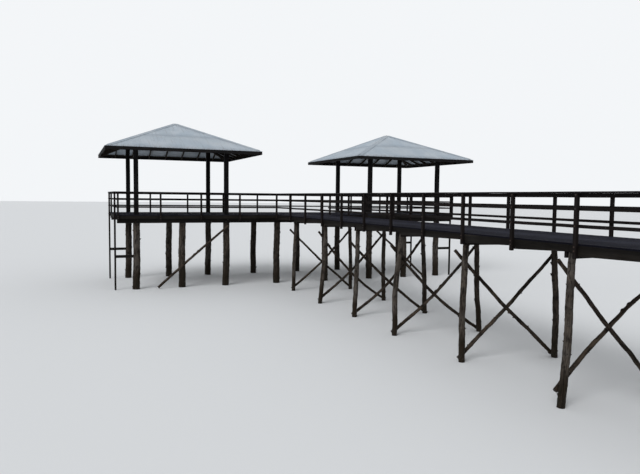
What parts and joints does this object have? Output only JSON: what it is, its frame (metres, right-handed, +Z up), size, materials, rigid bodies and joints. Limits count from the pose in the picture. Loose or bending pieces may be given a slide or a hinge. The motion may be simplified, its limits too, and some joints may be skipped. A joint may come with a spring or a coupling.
{
  "type": "wooden jetty",
  "caption": "Railed wooden walkway in six bays on crooked round piles with crossed pole braces, and a sea-end head with two hip-roofed shelters.",
  "frame": {"origin": "under the middle of the whole, on the plane that the piles stand on", "axes": "+X along the walkway to the shore, +Y across it to the far side, +Z up"},
  "size_m": [29.217, 19.014, 7.9417],
  "materials": {
    "pile_wood": "weathered round wood",
    "brace_wood": "weathered round wood, some bark",
    "cap_timber": "rough sawn, weathered dark",
    "beam_timber": "rough sawn, weathered dark",
    "deck_boards": "worn boards",
    "rail_timber": "dark stained, worn",
    "cap_board": "worn boards",
    "column_timber": "dark stained",
    "rafter_timber": "rough sawn",
    "roof_sheet": "pale corrugated sheet, weathered"
  },
  "bodies": {
    "root": {"piles_bent_0": "pile_wood", "piles_bent_1": "pile_wood", "piles_bent_2": "pile_wood", "piles_bent_3": "pile_wood", "piles_bent_4": "pile_wood", "piles_bent_5": "pile_wood", "piles_bent_6": "pile_wood", "head_piles": "pile_wood", "braces_bent_0": "brace_wood", "braces_bent_1": "brace_wood", "braces_bent_2": "brace_wood", "braces_bent_3": "brace_wood", "braces_bent_4": "brace_wood", "braces_bent_5": "brace_wood", "braces_bent_6": "brace_wood", "raking_braces": "brace_wood", "bent_caps": "cap_timber", "head_beams": "cap_timber", "landing_beams": "cap_timber", "edge_beams": "beam_timber", "inner_beams": "beam_timber", "head_joists": "beam_timber", "head_fascia": "beam_timber", "walkway_deck": "deck_boards", "head_deck": "deck_boards", "walkway_posts": "rail_timber", "walkway_top_rails": "rail_timber", "walkway_mid_rails": "rail_timber", "walkway_low_rails": "rail_timber", "head_posts": "rail_timber", "head_top_rails": "rail_timber", "head_mid_rails": "rail_timber", "head_low_rails": "rail_timber", "landing_posts": "rail_timber", "walkway_cap_boards": "cap_board", "head_cap_boards": "cap_board", "shelter_columns": "column_timber", "wall_plates": "column_timber", "eave_boards": "column_timber", "hip_rafters": "rafter_timber", "common_rafters": "rafter_timber", "purlins": "rafter_timber", "roof_sheets": "roof_sheet", "hip_caps": "roof_sheet"}
  },
  "joints": []
}
